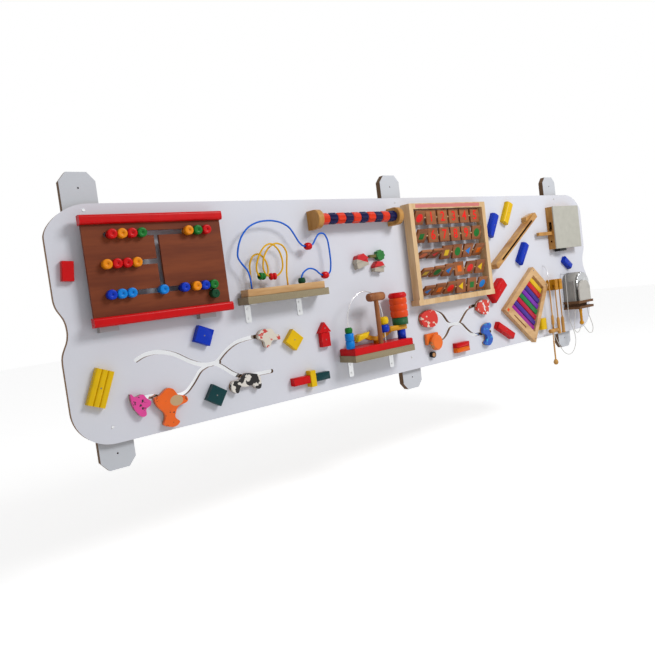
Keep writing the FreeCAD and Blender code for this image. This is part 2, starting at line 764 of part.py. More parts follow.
def make_blocks():
    square = 49.0
    reds = [
        wooden_bar(-1173, 145, 51, 30, 84.0, 18.0, 2.5),
        wooden_bar(-400, -146, 46, 36, 90.0, 18.0, 2.5),
        prism(((-425, -122), (-376, -122), (-400, -88)), 0, 18.0),
        wooden_bar(-517, -262, 62, 25, 0.0, 22.0, 2.5),
        wooden_bar(254, -264, 72, 19, 0.0, 22.0, 2.5),
        wooden_bar(254, -283, 72, 18.6, 0.0, 22.0, 2.5),
        wooden_bar(507, -76, 100, 50, 38.0, 30.0, 12.0),
        wooden_bar(530, -247, 112, 30, -32.0, 24.0, 6.0),
    ]
    save("blocks_red", *reds)
    yellows = []
    for k in range(3):
        yellows.append(wooden_bar(-1136 + (k - 1) * 15.0, -163 - (k - 1) * 6.2, 98, 16.2, 67.5, 20.0, 5.0))
    yellows = [yellows[0].fuse(yellows[1:]).removeSplitter()]
    yellows += [
        wooden_bar(-524, -128, square, square, -42.0, 20.0, 2.5),
        wooden_bar(-474, -262, 52, 22, 90.0, 25.0, 2.5),
        wooden_bar(632, 242, 94, 38, 60.0, 22.0, 12.0),
        wooden_bar(800, -255, 50, 40, 90.0, 24.0, 10.0),
    ]
    save("blocks_yellow", *yellows)
    blues = [
        wooden_bar(-829, -70, square, square, -24.0, 20.0, 2.5),
        wooden_bar(-815, -247, square, square, -33.0, 20.0, 2.5),
        wooden_bar(-434, -262, 55, 25, 0.0, 22.0, 2.5),
        wooden_bar(528, 195, 98, 38, 60.0, 22.0, 12.0),
        wooden_bar(711, 65, 96, 38, 54.0, 22.0, 12.0),
        wooden_bar(1041, 1, 62, 30, -38.0, 20.0, 7.0),
    ]
    save("blocks_blue", *blues)


def make_slotted_stick():
    dx = stick_end[0] - stick_start[0]
    dz = stick_end[1] - stick_start[1]
    length = math.hypot(dx, dz)
    angle = math.degrees(math.atan2(dz, dx))
    x = (stick_start[0] + stick_end[0]) / 2
    z = (stick_start[1] + stick_end[1]) / 2
    bar = block(x - length / 2, x + length / 2, 0, stick_depth, z - stick_width / 2, z + stick_width / 2)
    bar = eased(bar, 1.5)
    slot = run_of(((x - stick_slot_length / 2, z), (x + stick_slot_length / 2, z)),
                  stick_depth - stick_slot_depth, stick_depth + 1, stick_slot_width)
    bar = turned(bar.cut(slot), angle, x, z)
    wedge = prism(((744, 201), (800, 238), (742, 219)), 0, stick_depth * 0.7)
    save("slotted_stick", bar, wedge.cut(bar))


def make_lever_box():
    shell = block(box_left, box_right, 0, box_depth, box_bottom, box_top)
    hollow = block(box_left + box_wall, box_right - box_wall, box_wall * 0.5, box_depth + 1,
                   box_bottom + box_wall, box_top - box_wall)
    slot = block(box_left - 1, box_left + box_wall + 1, box_slot_near, box_slot_far, box_slot_low, box_slot_high)
    hole = bar_x(box_left - 1, box_left + box_wall + 1, 16.0, 105.0, 5.0)
    wheel = peg(986, box_bottom - 4, 6, box_depth, 26).common(block(950, 1020, 0, box_depth, box_bottom - 12, box_bottom))
    save("box_body", shell.cut([hollow, slot, hole]), wheel)
    cover = block(box_left, box_right, box_depth, box_depth + box_cover, box_bottom - 1.0, box_top + 1.0)
    save("box_cover", eased(cover, 1.5, lambda e: e.BoundBox.YMax < face_y - box_depth - 1))
    low = box_slot_low + gap
    middle = (box_slot_near + box_slot_far) / 2
    half = lever_size / 2
    arm = block(box_left - lever_length, box_left + box_wall + gap, middle - half, middle + half, low, low + lever_size)
    head = block(box_left + box_wall + gap, box_left + box_wall + 8, middle - half, middle + half,
                 low - 10, low + lever_size + 10)
    save("box_lever", eased(arm, 2.0, lambda e: e.BoundBox.XMax < box_left - lever_length + 1).fuse(head).removeSplitter())


def make_xylophone():
    x, z = xylo_centre
    half = xylo_length / 2
    outer = ((x - xylo_short / 2, z + half), (x + xylo_short / 2, z + half),
             (x + xylo_long / 2, z - half), (x - xylo_long / 2, z - half))
    rail = xylo_rail
    inner_top = z + half - rail - 8
    inner_low = z - half + rail + 14
    top_half = xylo_short / 2 - rail
    low_half = xylo_long / 2 - rail * 1.4
    inner = ((x - top_half, inner_top), (x + top_half, inner_top), (x + low_half, inner_low), (x - low_half, inner_low))
    frame = prism(outer, 0, xylo_depth).cut(prism(inner, 8.0, xylo_depth + 1))
    slot = block(x - 62, x + 34, xylo_depth - 12, xylo_depth + 1, z - half + 14, z - half + 20)
    frame = frame.cut(slot)
    turn = xylo_angle - 3.0
    bars = []
    for k in range(xylo_bars):
        high = inner_top - 11 - k * xylo_bar_pitch
        share = (inner_top - high) / (inner_top - inner_low)
        reach = top_half + (low_half - top_half) * share - 1
        bar = block(x - reach, x + reach, 8.0, 12.0 + xylo_bar_thickness, high - xylo_bar_width, high)
        bars.append(turned(eased(bar, 1.0), turn, x, z))
    save("xylophone_frame", turned(frame, turn, x, z))
    save("xylophone_bars", *bars)


def make_tile_frame():
    far = frame_back + frame_depth
    left = block(frame_left, frame_left + frame_rail, frame_back, far, frame_bottom + frame_rail, frame_top - frame_rail)
    right = block(frame_right - frame_rail, frame_right, frame_back, far, frame_bottom + frame_rail,
                  frame_top - frame_rail)
    top = block(frame_left, frame_right, frame_back, far, frame_top - frame_rail, frame_top)
    foot = block(frame_left - frame_foot_overhang, frame_right + frame_foot_overhang, frame_back, far,
                 frame_bottom, frame_bottom + frame_rail)
    rod_depth = frame_back + frame_depth / 2
    rods = []
    heights = [tile_row_centre + (2 - row) * tile_row_pitch for row in range(tile_rows)]
    for height in heights:
        rods.append(bar_x(frame_left + 6, frame_right - 6, rod_depth, height, tile_rod_radius))
    stiles = [left.cut(rods), right.cut(rods)]
    feet = [block(x, x + 30, 0, frame_back, z, z + frame_rail)
            for x in (frame_left, frame_right - 30) for z in (frame_bottom, frame_top - frame_rail)]
    save("tile_frame", *stiles, top, foot, *feet, *rods)

    for row, height in enumerate(heights):
        tiles = []
        for column in range(tile_columns):
            x = tile_column_first + column * tile_column_pitch
            tile = block(x - tile_width / 2, x + tile_width / 2, rod_depth - tile_thickness / 2,
                         rod_depth + tile_thickness / 2, height - tile_height / 2, height + tile_height / 2)
            tile = eased(tile, 1.0)
            tile = tile.cut(bar_x(x - tile_width, x + tile_width, rod_depth, height, tile_rod_radius + running))
            tile.rotate(at(x, rod_depth, height), Vector(1, 0, 0), tile_tilts[row][column])
            tiles.append(tile)
        save("tile_row_" + str(row + 1), *tiles)


def make_spinner_nook():
    far = housing_back + housing_depth
    body = block(housing_left, housing_right, housing_back, far, nook_top, nook_top + housing_height)
    body = rounded(body, housing_round, lambda e: runs_along(Vector(0, 1, 0))(e)
                   and e.BoundBox.ZMin > nook_top + housing_height - 1)
    disc_near = far + 1.5
    disc_far = disc_near + disc_thickness
    panel_near = disc_far + 1.5
    panel = block(panel_left, panel_right, panel_near, panel_near + panel_thickness, nook_top, nook_top + panel_height)
    panel = rounded(panel, housing_round, lambda e: runs_along(Vector(0, 1, 0))(e)
                    and e.BoundBox.ZMin > nook_top + panel_height - 1)
    axle = peg(disc_x, disc_z - 14, far, panel_near, disc_axle_radius)
    save("spinner_housing", body, axle, panel)
    z = disc_z - 14
    rim = disc_radius
    disc = revolved(((disc_axle_radius + running, 0), (rim - 3, 0), (rim, 2), (rim, disc_thickness - 2),
                     (rim - 3, disc_thickness), (disc_axle_radius + running, disc_thickness)),
                    at(disc_x, disc_near, z), Vector(0, -1, 0))
    scallops = []
    for k in range(16):
        angle = math.pi * k / 8
        scallops.append(peg(disc_x + rim * 1.04 * math.cos(angle), z + rim * 1.04 * math.sin(angle),
                            disc_near - 1, disc_far + 1, 5.0))
    save("spinner_disc", disc.cut(scallops))

    floor = nook_top - 2 * nook_board - nook_space
    knob = revolved(((0, 0), (7, 0), (7, -12), (6, -16), (6, -knob_length + 18), (9, -knob_length + 12),
                     (10, -knob_length + 5), (7, -knob_length), (0, -knob_length)),
                    at(knob_x, knob_depth, floor), Vector(0, 0, 1))
    under = floor - knob_length - cord_diameter / 2 - gap
    route = (
        (984, 62, floor), (984, 62, -238), (974, 63, -262), (961, 64, -286), (961, 65, -308), (980, 66, -324),
        (1000, 67, -312), (1012, 68, under), (1030, 68, under), (1048, 69, -314), (1074, 70, -338),
        (1098, 71, -334), (1104, 72, -310), (1094, 72, -284), (1082, 72, -260), (1072, 72, -238), (1072, 72, floor),
    )
    save("cord_knob", tube([at(*place) for place in route], cord_diameter))
    return knob


def make_hanging_sticks(knob):
    clamps = []
    for x in hanging_places:
        low = clamp_top - clamp_height
        piece = block(x - clamp_width / 2, x + clamp_width / 2, 0, clamp_depth, low, clamp_top)
        notch = block(x - clamp_width / 2 - 1, x + clamp_width / 2 + 1, hanging_depth - 5, hanging_depth + 5,
                      low - 1, low + 22)
        hole = bar_x(x - clamp_width, x + clamp_width, hanging_depth, low + 16, 2.0)
        clamps.append(eased(piece, 2.0).cut(notch).fuse(hole.common(piece)).removeSplitter())
    save("clamps_and_knob", *clamps, knob)

    sticks = []
    for x in hanging_places:
        low = clamp_top - clamp_height
        top = low + 20
        grip = hanging_length - hanging_grip
        profile = ((0, 0), (hanging_rod_radius, 0), (hanging_rod_radius, -grip),
                   (hanging_grip_radius * 0.8, -grip - 3), (hanging_grip_radius, -grip - 12),
                   (hanging_grip_radius, -hanging_length + 8), (hanging_grip_radius * 1.25, -hanging_length + 3),
                   (hanging_grip_radius, -hanging_length), (0, -hanging_length))
        stick = revolved(profile, at(x, hanging_depth, low - 1), Vector(0, 0, 1))
        eye = Part.makeCylinder(4.4, 6.0, at(x - 3.0, hanging_depth, low + 16), Vector(1, 0, 0))
        neck = bar_z(x, hanging_depth, low - 1.5, low + 14, 2.4)
        bore = bar_x(x - 4, x + 4, hanging_depth, low + 16, 2.0 + running)
        sticks.append(stick.fuse([neck, eye]).cut(bore).removeSplitter())
    save("hanging_sticks", *sticks)

    wire_top = at(862, 3 * gap, 2)
    depth = 34.0
    hook = tube([wire_top, at(860, 16, -8), at(852, 30, -36), at(mallet_x, depth, -74)], 2.4)
    beater = revolved(((0, -74), (2.8, -74), (2.8, -222), (5.5, -226), (6.5, -236), (6.5, -262), (4, -268),
                       (4, -284), (0, -284)), at(mallet_x, depth, 0), Vector(0, 0, 1))
    bundle = bar_x(mallet_x - 30, mallet_x + 30, depth, -293, 9.0)
    mallet = revolved(((0, -302), (2.2, -302), (2.2, -336), (3.4, -338), (3.4, -420), (7, -424), (10.5, -431),
                       (10.5, -437), (7, -444), (0, -446)), at(mallet_x - 8, depth, 0), Vector(0, 0, 1))
    save("hanging_mallet", hook, beater, eased(bundle, 2.0), mallet)

    hook_low = cord_hook_z - cord_hook_radius
    route = (
        (cord_hook_x, 26, hook_low), (cord_hook_x, 26, -98), (991, 26, -144), (989, 26, -190), (985, 27, -232),
        (991, 28, -270), (1007, 29, -306), (1020, 30, -342), (1014, 31, -378), (990, 32, -408), (954, 33, -420),
        (918, 34, -408), (890, 35, -382), (869, 35, -350), (853, 35, -324), (mallet_x + 1, depth, -302 - 3 * gap),
    )
    save("cord_long", tube([at(*place) for place in route], cord_diameter))


make_board()
make_battens()
make_peg_panel()
make_shelves()
make_bead_maze()
make_roller()
make_village()
make_shelf_toy()
make_figures()
make_blocks()
make_slotted_stick()
make_lever_box()
make_xylophone()
make_tile_frame()
make_hanging_sticks(make_spinner_nook())
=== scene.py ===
import math

import bmesh
import bpy
from mathutils import Matrix, Vector


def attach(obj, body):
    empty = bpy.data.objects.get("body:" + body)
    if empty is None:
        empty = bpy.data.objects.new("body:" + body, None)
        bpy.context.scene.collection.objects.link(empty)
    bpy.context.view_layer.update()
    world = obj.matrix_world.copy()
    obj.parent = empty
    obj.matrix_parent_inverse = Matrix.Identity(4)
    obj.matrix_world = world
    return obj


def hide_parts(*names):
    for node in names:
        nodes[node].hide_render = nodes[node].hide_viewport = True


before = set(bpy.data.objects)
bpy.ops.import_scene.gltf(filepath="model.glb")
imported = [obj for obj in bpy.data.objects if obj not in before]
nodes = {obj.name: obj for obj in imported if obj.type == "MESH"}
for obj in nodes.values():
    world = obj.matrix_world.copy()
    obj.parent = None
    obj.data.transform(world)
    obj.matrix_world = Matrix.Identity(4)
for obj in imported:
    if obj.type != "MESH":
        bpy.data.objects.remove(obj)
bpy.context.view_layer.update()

# Camera: stands in front of the left end of the panel, just above its middle, and looks
# along it to the right, which makes the far end about a third as tall as the near one.
eye = Vector((-1.5945, -1.694, 0.015))
sight = Vector((0.5920, 0.8036, -0.0601)).normalized()
head_up = Vector((0.1371, -0.027, 0.9902))
across = sight.cross(head_up).normalized()
lens = bpy.data.cameras.new("camera")
lens.lens = 33.92
lens.sensor_width = 36.0
camera = bpy.data.objects.new("camera", lens)
turned = Matrix((across, across.cross(sight), -sight)).transposed().to_4x4()
camera.matrix_world = Matrix.Translation(eye) @ turned
bpy.context.collection.objects.link(camera)
bpy.context.scene.camera = camera


# Cords: two braided white cords of 3 mm. One hangs from a pin on the panel in a long loop to
# the mallet's bundle, the other makes two loops under the shelf and goes over its knob.
class Signal:
    """A shader socket that can stand in a Python expression."""

    def __init__(self, finish, socket):
        self.finish = finish
        self.socket = socket

    def maths(self, operation, *others):
        terms = dict(enumerate((self, *others)))
        return self.finish.node("ShaderNodeMath", {"operation": operation}, terms)

    def __add__(self, other):
        return self.maths("ADD", other)

    def __sub__(self, other):
        return self.maths("SUBTRACT", other)

    def __mul__(self, other):
        return self.maths("MULTIPLY", other)

    def __gt__(self, other):
        return self.maths("GREATER_THAN", other)

    def __lt__(self, other):
        return self.maths("LESS_THAN", other)

    def __rsub__(self, other):
        return self * -1.0 + other

    __radd__ = __add__
    __rmul__ = __mul__


class Finish:
    """One material, whose shader is fed by expressions on the piece's own coordinates."""

    def __init__(self, name, roughness, metallic=0.0, coat=0.0):
        self.material = bpy.data.materials.new(name)
        self.material.use_nodes = True
        self.tree = self.material.node_tree
        self.shader = self.tree.nodes["Principled BSDF"]
        self.shader.inputs["Roughness"].default_value = roughness
        self.shader.inputs["Metallic"].default_value = metallic
        self.shader.inputs["Coat Weight"].default_value = coat
        self.shader.inputs["Specular IOR Level"].default_value = 0.16
        self.place = self.node("ShaderNodeTexCoord", {}, {}, "Object")

    def node(self, kind, settings, values, output=0):
        made = self.tree.nodes.new(kind)
        for setting, value in settings.items():
            setattr(made, setting, value)
        for socket, value in values.items():
            if isinstance(value, Signal):
                self.tree.links.new(value.socket, made.inputs[socket])
            else:
                made.inputs[socket].default_value = value
        return Signal(self, made.outputs[output])

    def along(self, axis):
        return self.node("ShaderNodeSeparateXYZ", {}, {0: self.place}, axis)

    def noise(self, scale, stretch=(1.0, 1.0, 1.0), turn=0.0):
        spot = self.node("ShaderNodeMapping", {},
                         {"Vector": self.place, "Rotation": (0.0, turn, 0.0), "Scale": stretch})
        return self.node("ShaderNodeTexNoise", {}, {"Vector": spot, "Scale": scale, "Detail": 3.0})

    def mix(self, mask, low, high):
        low, high = (value if isinstance(value, Signal) else (*value, 1.0) for value in (low, high))
        return self.node("ShaderNodeMix", {"data_type": "RGBA"}, {0: mask, 6: low, 7: high}, 2)

    def steep(self, value, low, high):
        return self.node("ShaderNodeMapRange", {"interpolation_type": "SMOOTHSTEP"},
                         {0: value, 1: low, 2: high})

    def feed(self, socket, value):
        self.tree.links.new(value.socket, self.shader.inputs[socket])

    def raise_by(self, height, distance, strength=0.6):
        bump = self.node("ShaderNodeBump", {},
                         {"Height": height, "Distance": distance, "Strength": strength}, "Normal")
        self.feed("Normal", bump)


def braid(name, colour):
    finish = Finish(name, 0.8)
    strands = finish.noise(900.0)
    dark = tuple(channel * 0.72 for channel in colour)
    finish.feed("Base Color", finish.mix(strands, dark, colour))
    finish.raise_by(strands, 0.0004)
    return finish.material


cord_thickness = 0.003
cord_white = braid("white cord", (0.66, 0.65, 0.62))
cord_routes = {
    "cord_long": (0.572, (
        (0.992, -0.066, -0.052), (0.992, -0.066, -0.098), (0.991, -0.066, -0.144),
        (0.989, -0.066, -0.190), (0.985, -0.067, -0.232), (0.991, -0.068, -0.270),
        (1.007, -0.069, -0.306), (1.020, -0.070, -0.342), (1.014, -0.071, -0.378),
        (0.990, -0.072, -0.408), (0.954, -0.073, -0.420), (0.918, -0.074, -0.408),
        (0.890, -0.075, -0.382), (0.869, -0.075, -0.350), (0.853, -0.075, -0.324),
        (0.847, -0.074, -0.3029),
    )),
    "cord_knob": (0.391, (
        (0.984, -0.102, -0.216), (0.984, -0.102, -0.238), (0.974, -0.103, -0.262),
        (0.961, -0.104, -0.286), (0.961, -0.105, -0.308), (0.980, -0.106, -0.324),
        (1.000, -0.107, -0.312), (1.012, -0.108, -0.2898), (1.030, -0.108, -0.2898),
        (1.048, -0.109, -0.314), (1.074, -0.110, -0.338), (1.098, -0.111, -0.334),
        (1.104, -0.112, -0.310), (1.094, -0.112, -0.284), (1.082, -0.112, -0.260),
        (1.072, -0.112, -0.238), (1.072, -0.112, -0.216),
    )),
}
for name, (length, route) in cord_routes.items():
    curve = bpy.data.curves.new(name + "_braid", "CURVE")
    curve.dimensions = "3D"
    curve.bevel_depth = cord_thickness / 2
    curve.bevel_resolution = 3
    curve.resolution_u = 10
    curve.use_fill_caps = True
    line = curve.splines.new("NURBS")
    line.points.add(len(route) - 1)
    for point, place in zip(line.points, route):
        point.co = (*place, 1.0)
    line.order_u = 3
    line.use_endpoint_u = True
    curve.materials.append(cord_white)
    piece = bpy.data.objects.new(name + "_braid", curve)
    bpy.context.collection.objects.link(piece)
    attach(piece, "board")
    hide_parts(name)


# Panel: an 18 mm plywood sheet with a white laminate face. Its sawn edges and the walls of
# the routed tracks show the brown layers of the ply.
panel_front = -0.040
face_depth = 0.0007


def ply_faced(name, face, front_y, edge_pale, edge_dark):
    finish = Finish(name, 0.42)
    depth = finish.along("Y")
    bands = finish.node("ShaderNodeTexWave", {"bands_direction": "Y"},
                        {"Vector": finish.place, "Scale": 90.0, "Distortion": 0.6})
    layers = finish.steep(bands, 0.3, 0.7)
    edge = finish.mix(layers, edge_dark, edge_pale)
    smudge = finish.noise(5.0)
    laminate = finish.mix(smudge, tuple(channel * 0.93 for channel in face), face)
    sawn = depth > front_y + face_depth
    finish.feed("Base Color", finish.mix(sawn, laminate, edge))
    finish.feed("Roughness", finish.noise(30.0) * 0.15 + sawn * 0.3 + 0.3)
    return finish.material


def dress(name, material):
    nodes[name].data.materials.clear()
    nodes[name].data.materials.append(material)


dress("board_panel", ply_faced("white laminate", (0.67, 0.68, 0.74), panel_front,
                               (0.36, 0.22, 0.12), (0.16, 0.08, 0.04)))


# Track mirrors: narrow strips of silvered plastic sheet laid in the bottom of the routed
# tracks, slightly uneven, so that they reflect in streaks.
def metal(name, colour, roughness, ripple=0.00015, grain=25.0):
    finish = Finish(name, roughness, metallic=1.0)
    wave = finish.noise(grain)
    dark = tuple(channel * 0.8 for channel in colour)
    finish.feed("Base Color", finish.mix(wave, dark, colour))
    finish.feed("Roughness", wave * 0.12 + (roughness - 0.06))
    finish.raise_by(wave, ripple)
    return finish.material


dress("track_mirrors", metal("mirror strip", (0.86, 0.87, 0.89), 0.05, 0.0001, 14.0))

# Battens: three upright laths of faced ply behind the panel, with clipped corners, screwed
# to the wall at their ends. The spacers that hold the slot plate off the panel are the same
# ply, painted white, but coloured a darker grey on face and edges as painted shade under the plate.
batten_front = -0.022
spacer_front = -0.064
dress("wall_battens", ply_faced("batten face", (0.56, 0.58, 0.62), batten_front,
                                (0.22, 0.13, 0.07), (0.09, 0.05, 0.03)))
# The spacer face and edge colours are a darker grey than the batten face: painted shade under the slot
# plate and rails.
dress("slot_spacers", ply_faced("spacer face in painted shade", (0.44, 0.45, 0.47), spacer_front,
                                (0.36, 0.34, 0.33), (0.28, 0.26, 0.25)))


# Slot plate: thin plywood stained brown, with the peg slots routed through it. The grain
# runs along the plate.
def grained(name, pale, dark, stretch, roughness):
    finish = Finish(name, roughness)
    streaks = finish.noise(26.0, stretch)
    pores = finish.noise(150.0, stretch)
    figure = finish.steep(streaks * 0.75 + pores * 0.25, 0.32, 0.68)
    finish.feed("Base Color", finish.mix(figure, dark, pale))
    finish.feed("Roughness", figure * 0.12 + (roughness - 0.05))
    finish.raise_by(pores, 0.0003, 0.3)
    return finish.material


along_x = (0.12, 1.0, 1.0)
along_z = (1.0, 1.0, 0.12)
plate_stain = grained("brown stained ply", (0.200, 0.046, 0.014), (0.130, 0.026, 0.008), along_x, 0.5)
dress("slot_plate", plate_stain)


# Rails: two turned red strips that hold the plate by its long edges. They are lacquered
# thickly, with small dents and dull places.
def lacquer(name, colour, roughness=0.28):
    finish = Finish(name, roughness)
    cloud = finish.noise(35.0)
    fine = finish.noise(260.0)
    deep = tuple(channel * 0.78 for channel in colour)
    finish.feed("Base Color", finish.mix(cloud, deep, colour))
    finish.feed("Roughness", fine * 0.16 + (roughness - 0.06))
    finish.raise_by(fine + cloud, 0.0003, 0.35)
    return finish.material


red = lacquer("red lacquer", (0.62, 0.002, 0.004))
orange = lacquer("orange lacquer", (0.86, 0.27, 0.003))
yellow = lacquer("yellow lacquer", (0.80, 0.50, 0.003))
green = lacquer("green lacquer", (0.008, 0.17, 0.022))
dark_green = lacquer("dark green lacquer", (0.003, 0.055, 0.020))
blue = lacquer("blue lacquer", (0.002, 0.035, 0.48))
sky = lacquer("sky blue lacquer", (0.003, 0.22, 0.70))
dress("slot_rails", red)


# Pegs: turned mushroom pegs with a drilled dot in the crown. Each group of pegs in a slot
# is one node, so its copy is parted into solids and every solid gets the colour of its peg.
sharp_angle = math.radians(35)
weld_distance = 0.000001


def solids_of(name):
    whole = bmesh.new()
    whole.from_mesh(nodes[name].data)
    bmesh.ops.remove_doubles(whole, verts=whole.verts, dist=weld_distance)
    whole.verts.index_update()
    unseen = set(whole.verts)
    found = []
    while unseen:
        waiting = [unseen.pop()]
        solid = set(waiting)
        while waiting:
            for edge in waiting.pop().link_edges:
                for vert in edge.verts:
                    if vert in unseen:
                        unseen.discard(vert)
                        solid.add(vert)
                        waiting.append(vert)
        low = Vector(min(vert.co[axis] for vert in solid) for axis in range(3))
        high = Vector(max(vert.co[axis] for vert in solid) for axis in range(3))
        centre = (low + high) / 2
        found.append((centre, {vert.index for vert in solid}))
    return whole, found


def add_shape(name, shape, material, body, coat=0.0):
    mesh = bpy.data.meshes.new(name)
    shape.to_mesh(mesh)
    shape.free()
    mesh.shade_smooth()
    mesh.set_sharp_from_angle(angle=sharp_angle)
    mesh.materials.clear()
    mesh.materials.append(material)
    piece = bpy.data.objects.new(name, mesh)
    bpy.context.collection.objects.link(piece)
    if coat:
        swell = piece.modifiers.new("coat thickness", "DISPLACE")
        swell.strength = coat
        swell.mid_level = 0.0
    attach(piece, body)
    return piece


def paint_solids(name, body, colour_of, coat=0.0):
    whole, found = solids_of(name)
    painted = {}
    for centre, members in found:
        painted.setdefault(colour_of(centre), set()).update(members)
    for number, (material, members) in enumerate(painted.items()):
        part = whole.copy()
        part.verts.index_update()
        unwanted = [vert for vert in part.verts if vert.index not in members]
        bmesh.ops.delete(part, geom=unwanted, context="VERTS")
        piece = add_shape(name + "_colour_" + str(number + 1), part, material, body, coat)
        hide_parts(name)
    whole.free()


def by_order(colours, start, pitch):
    return lambda centre: colours[max(0, min(len(colours) - 1, round((centre.x - start) / pitch)))]


for name, colours, first_peg, pitch in (
        ("pegs_top_left", [red, orange, red, green], -1.0604, 0.0264),
        ("pegs_top_right", [orange, green, red], -0.8474, 0.0272),
        ("pegs_middle", [orange, red, red, orange], -1.084, 0.0264),
        ("pegs_low_left", [blue, sky, sky, sky], -1.083, 0.0264),
        ("pegs_low_right", [blue, orange, blue, green], -0.8808, 0.029)):
    paint_solids(name, name, by_order(colours, first_peg, pitch))
dress("peg_branch", dark_green)


# Shelves and fixings: raw birch ply with greenish grey edges under the maze and the toy, dark
# brown ply under the spinner, carried by zinc angle brackets with two screws each.
def raw_ply(name, pale, dark):
    finish = Finish(name, 0.65)
    bands = finish.node("ShaderNodeTexWave", {"bands_direction": "Z"},
                        {"Vector": finish.place, "Scale": 110.0, "Distortion": 1.2})
    figure = finish.steep(bands * 0.6 + finish.noise(40.0, along_x) * 0.4, 0.3, 0.75)
    finish.feed("Base Color", finish.mix(figure, dark, pale))
    finish.raise_by(figure, 0.0003, 0.3)
    return finish.material


shelf_ply = raw_ply("birch ply", (0.40, 0.34, 0.22), (0.17, 0.13, 0.075))
nook_ply = raw_ply("brown ply", (0.22, 0.11, 0.05), (0.08, 0.035, 0.018))
paint_solids("ply_shelves", "board", lambda centre: nook_ply if centre.x > 0.5 else shelf_ply)
dress("brackets_and_screws", metal("zinc plate", (0.72, 0.73, 0.74), 0.3))

# Bead maze: a varnished pine plank that carries two bent steel wires, powder coated blue and
# yellow, with turned beads on them.
pine = grained("pine plank", (0.66, 0.43, 0.22), (0.46, 0.25, 0.10), along_x, 0.4)
dress("maze_base", pine)
powder_thickness = 0.0002
blue_coat = lacquer("blue wire coat", (0.002, 0.13, 0.66), 0.35)
yellow_coat = lacquer("yellow wire coat", (0.80, 0.44, 0.003), 0.35)
paint_solids("maze_wire_blue", "board", lambda centre: blue_coat, coat=powder_thickness)
paint_solids("maze_wire_yellow", "board", lambda centre: yellow_coat, coat=powder_thickness)
dress("maze_beads_red", red)
dress("maze_bead_green", dark_green)
paint_solids("maze_beads_yellow_wire", "maze_beads_yellow_wire",
             lambda centre: red if centre.x > -0.6 else green)

# Roller: ten lobed plastic rollers on a rod between two sawn cheeks of honey coloured wood.
honey = grained("honey wood", (0.56, 0.30, 0.085), (0.36, 0.16, 0.035), along_z, 0.35)
dress("roller_stand", honey)
dress("rollers_red", lacquer("red roller plastic", (0.74, 0.035, 0.006)))
dress("rollers_navy", lacquer("navy roller plastic", (0.004, 0.005, 0.06)))


# Village: two small houses with red roofs and a scalloped tree on an olive bar, which slide
# together in the short branched track. The walls are printed wood, left plain here.
def village_paint():
    finish = Finish("village paint", 0.35, coat=0.3)
    across_x = finish.along("X")
    height = finish.along("Z")
    cloud = finish.noise(60.0)
    roof_red = finish.mix(cloud, (0.45, 0.01, 0.015), (0.66, 0.015, 0.02))
    wall = finish.mix(cloud, (0.30, 0.26, 0.20), (0.55, 0.50, 0.42))
    big_walls = (height + across_x * 0.25 < 0.0478) * (across_x < -0.165)
    small_walls = (height - across_x * 0.14 < 0.0925) * (across_x > -0.165) * (height < 0.085)
    roofs = finish.mix(big_walls.maths("MAXIMUM", small_walls), roof_red, wall)
    tree = (height > 0.0935) * (across_x > -0.166)
    crown = finish.mix(cloud, (0.01, 0.10, 0.02), (0.03, 0.24, 0.04))
    bar = finish.mix(cloud, (0.10, 0.08, 0.02), (0.16, 0.14, 0.03))
    leaves = finish.mix(across_x < -0.1365, crown, bar)
    finish.feed("Base Color", finish.mix(tree, roofs, leaves))
    finish.raise_by(cloud, 0.0003, 0.3)
    return finish.material


dress("village_figures", village_paint())

# Shelf toy: a red base that carries a brown post with a turned head, a thin wire with beads
# and a stack of turned blocks on a cylinder.
dress("toy_base", red)
dress("toy_post", grained("brown turned wood", (0.36, 0.14, 0.05), (0.20, 0.06, 0.02), along_z, 0.35))
dress("toy_wire", metal("bright wire", (0.80, 0.80, 0.80), 0.2))


def toy_bead_colour(centre):
    if centre.x > -0.25:
        return yellow if centre.z > -0.128 else blue
    return green if centre.z > -0.14 else sky


paint_solids("toy_beads", "toy_beads", toy_bead_colour)
ochre = grained("ochre lacquered wood", (0.62, 0.29, 0.012), (0.42, 0.17, 0.008), along_x, 0.22)
paint_solids("toy_arm", "board", lambda centre: yellow if centre.y < -0.088 else ochre)
tower_orange = lacquer("orange red lacquer", (0.78, 0.07, 0.008))
ring_green = lacquer("ring green lacquer", (0.02, 0.12, 0.04))


def tower_colour(centre):
    if centre.z < -0.157:
        return blue
    if centre.z < -0.138:
        return ochre
    if centre.z < -0.113:
        return ring_green
    return tower_orange if centre.z < -0.042 else red


paint_solids("toy_tower", "board", tower_colour)


# Track figures: flat sawn wooden animals, a car, a bird, a fish and a sun, painted by hand
# with simple marks. The edges are bare ply.
figure_back = -0.0455


def hand_painted(name, ground, marks, scale, share, bare=None):
    finish = Finish(name, 0.35, coat=0.3)
    cloud = finish.noise(45.0)
    coat = finish.mix(cloud, tuple(channel * 0.82 for channel in ground), ground)
    patches = finish.steep(finish.noise(scale), share, share + 0.02)
    coat = finish.mix(patches, coat, marks)
    if bare:
        x, z, half_x, half_z = bare
        off_x = (finish.along("X") - x) * (1.0 / half_x)
        off_z = (finish.along("Z") - z) * (1.0 / half_z)
        oval = off_x * off_x + off_z * off_z < 1.0
        coat = finish.mix(oval, coat, (0.50, 0.33, 0.17))
    back = finish.along("Y") > figure_back
    finish.feed("Base Color", finish.mix(back, coat, (0.30, 0.17, 0.08)))
    finish.raise_by(cloud, 0.0003, 0.3)
    return finish.material


